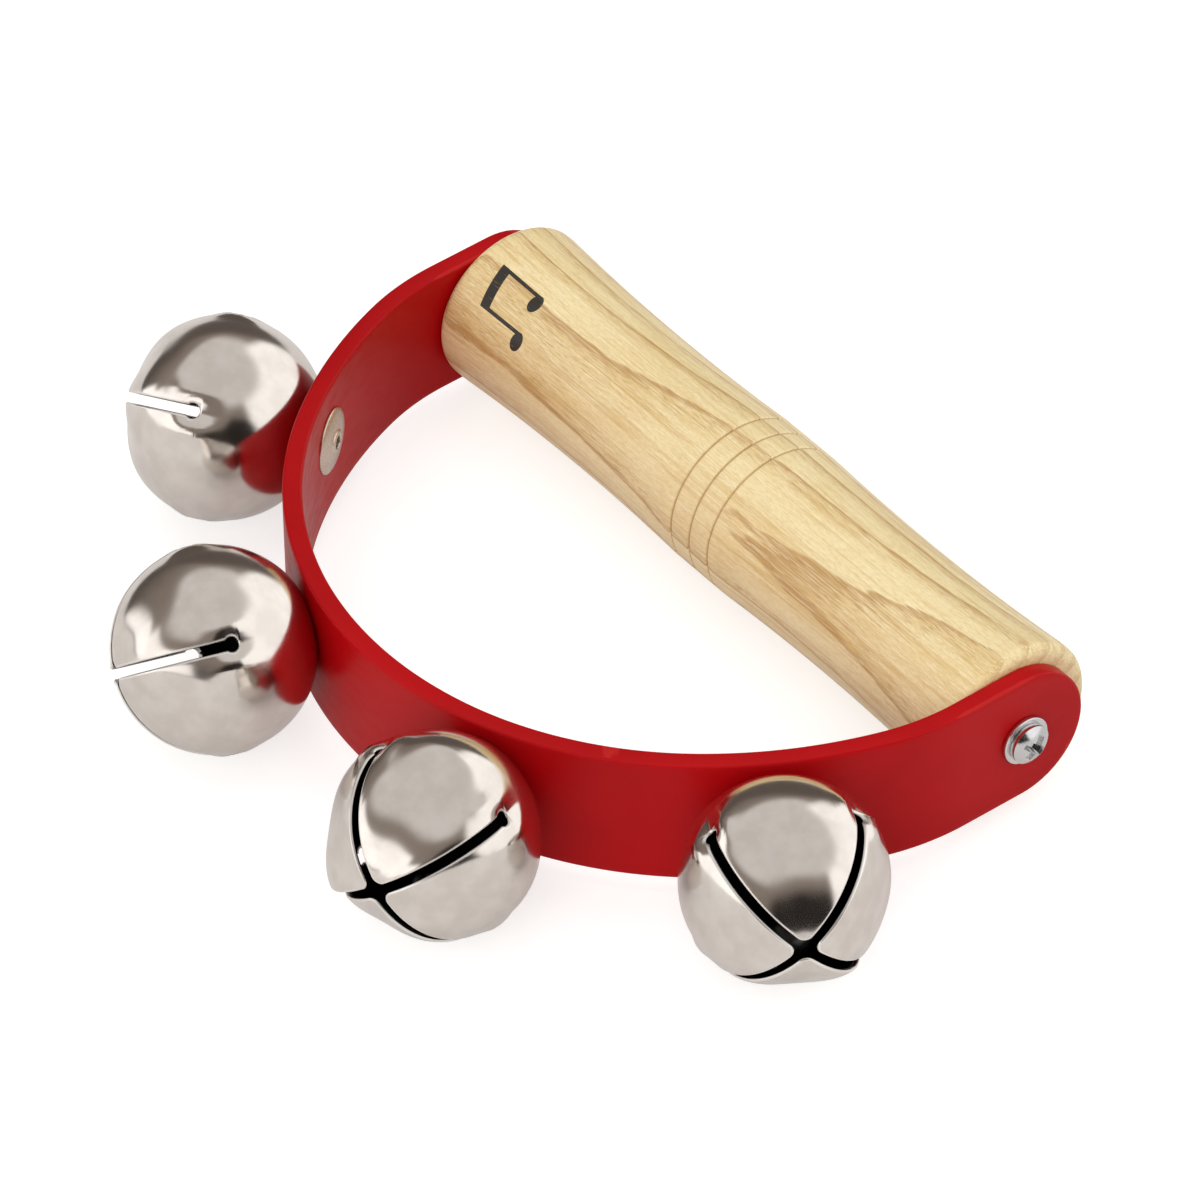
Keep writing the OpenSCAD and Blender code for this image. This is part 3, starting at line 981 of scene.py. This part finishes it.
def pellet(number):
    """Tumbled steel shot: a ball with a faint parting band and a dented skin."""
    inset, band_height, band_half, dent_depth = 0.06, 0.05, 6, 0.05
    step, around = 5, 48
    low, high = box_mm(f"pellet_{number}")
    radius = (high.x - low.x) / 2
    profile = []
    for polar in range(0, 181, step):
        r = radius - inset + band_height * bump_at(polar, 90, band_half)
        profile.append((r * math.sin(math.radians(polar)), r * math.cos(math.radians(polar))))
    profile[0], profile[-1] = (0, profile[0][1]), (0, profile[-1][1])
    points, faces = lathe(profile, around)
    dented = []
    for point in points:
        p = Vector(point)
        dent = dent_depth * noise.noise(p * 0.9 + Vector((number * 7, 0, 0)))
        dented.append(p * (1 + dent / radius))
    piece = make_object(f"pellet_{number}_shot", dented, faces, upright((low + high) / 2), [PELLET])
    hand_over(piece, f"pellet_{number}", f"pellet_{number}")


# ---------------------------------------------------------------- stage


def floor():
    """Pale floor that lights the object less than it shows to the camera."""
    lit, seen_extra = 0.25, 0.42
    size, drop = 1500, 0.2
    material = bpy.data.materials.new("pale_floor")
    s = Shader(material)
    seen = s.add("LightPath").outputs["Is Camera Ray"]
    s.surface(
        Base_Color=(0.54, 0.53, 0.52, 1),
        Roughness=0.7,
        Specular_IOR_Level=0.1,
        Emission_Color=(1, 1, 1, 1),
        Emission_Strength=s.math("MULTIPLY_ADD", seen, seen_extra, lit),
    )
    height = cad_box[0].z / MM - drop
    corners = ((-size, -size), (size, -size), (size, size), (-size, size))
    points = [(x, y, height) for x, y in corners]
    make_object("floor", points, [[0, 1, 2, 3]], upright(), [material])


def camera():
    """Camera at its viewing angle, with its small roll."""
    azimuth, elevation, roll = math.radians(52.85), math.radians(42.19), math.radians(-1.146)
    distance_mm, aim_mm, lens = 1991.8, Vector((-0.784, -32.553, -2.962)), 360.0
    flat = math.cos(elevation)
    back = Vector((math.sin(azimuth) * flat, -math.cos(azimuth) * flat, math.sin(elevation)))
    level = Vector((math.cos(azimuth), math.sin(azimuth), 0))
    raised = back.cross(level)
    right = level * math.cos(roll) + raised * math.sin(roll)
    up = raised * math.cos(roll) - level * math.sin(roll)
    data = bpy.data.cameras.new("camera")
    data.lens, data.sensor_width = lens, 36.0
    data.clip_start, data.clip_end = 0.1, 20.0
    made = bpy.data.objects.new("camera", data)
    bpy.context.scene.collection.objects.link(made)
    made.matrix_world = place(right / MM, up / MM, back / MM, aim_mm + back * distance_mm)
    bpy.context.scene.camera = made


def surroundings():
    """A dim brown room seen round a white table, a pale ceiling, and two big white panels. Each
    patch is a place on the sky, with its soft edges given as cosines of angles or as heights."""
    world = bpy.data.worlds.new("studio")
    bpy.context.scene.world = world
    s = Shader(world)
    coord = s.add("TexCoord").outputs["Generated"]

    def facing(direction):
        made = s.add("VectorMath", {"operation": "DOT_PRODUCT"}, i0=coord)
        s.set(made.inputs[1], tuple(Vector(direction).normalized()))
        return made.outputs["Value"]

    def heading(degrees, rise_degrees=0.0):
        turn, lift = math.radians(degrees), math.radians(rise_degrees)
        flat = math.cos(lift)
        return facing((math.cos(turn) * flat, math.sin(turn) * flat, math.sin(lift)))

    rise = facing((0, 0, 1))
    room_low, room_high = (0.08, 0.068, 0.06, 1), (0.27, 0.23, 0.20, 1)
    tone = s.mix(s.ramp(rise, 0.02, 0.55), room_low, room_high)
    # The far side of the ceiling comes lower than the near side.
    near = s.math("MULTIPLY", s.ramp(heading(-35), -0.4, 0.75), 0.19)
    ceiling = s.ramp(s.math("SUBTRACT", rise, near), 0.52, 0.66)
    tone = s.mix(ceiling, tone, (0.72, 0.70, 0.68, 1))
    dark_patch = s.ramp(heading(-18, 12), 0.84, 0.95)
    tone = s.mix(dark_patch, tone, (0.022, 0.019, 0.017, 1))
    # The first white panel stands low, and reaches higher over a narrow stretch.
    low_part = s.math("MULTIPLY", s.ramp(rise, 0.0, 0.03), s.ramp(rise, 0.38, 0.31))
    low_part = s.math("MULTIPLY", low_part, s.ramp(heading(-108), 0.62, 0.70))
    high_part = s.math("MULTIPLY", s.ramp(rise, 0.53, 0.46), s.ramp(heading(-112, 20), 0.84, 0.90))
    tone = s.mix(s.math("MAXIMUM", low_part, high_part), tone, (1.42, 1.41, 1.39, 1))
    second = s.math("MULTIPLY", s.ramp(heading(60, 20), 0.56, 0.68), s.ramp(rise, 0.84, 0.70))
    tone = s.mix(second, tone, (1.25, 1.24, 1.22, 1))
    dark_disc = s.ramp(heading(141, -2), 0.81, 0.89)
    tone = s.mix(dark_disc, tone, (0.12, 0.10, 0.088, 1))
    table = s.ramp(rise, -0.01, -0.03)
    tone = s.mix(table, tone, (0.72, 0.71, 0.695, 1))
    background = s.add("Background", Color=tone, Strength=1.0)
    s.add("OutputWorld", Surface=background.outputs[0])


def soft_lamp(name, watts, spot):
    """Big round lamp at a spot in metres, aimed at the origin, that metal doesn't mirror."""
    lamp = bpy.data.lights.new(name, "AREA")
    lamp.shape, lamp.size, lamp.energy = "DISK", 1.6, watts
    made = bpy.data.objects.new(name, lamp)
    bpy.context.scene.collection.objects.link(made)
    made.location = spot
    made.rotation_euler = Vector(spot).to_track_quat("Z", "Y").to_euler()
    made.visible_glossy = False


grip()
strap()
for side_name, side, turn in (("left", -1, 10.0), ("right", 1, 48.0)):
    washer(side_name, side)
    screw(side_name, side, turn)
for number in BELLS:
    rivet(number)
    mandrel(number)
    bell(number)
    pellet(number)
floor()
camera()
surroundings()
soft_lamp("overhead", 5.0, (-0.35, -0.15, 1.5))
soft_lamp("front", 12.0, (0.9, -1.1, 0.9))

bpy.context.scene.view_settings.view_transform = "Standard"
bpy.context.view_layer.update()
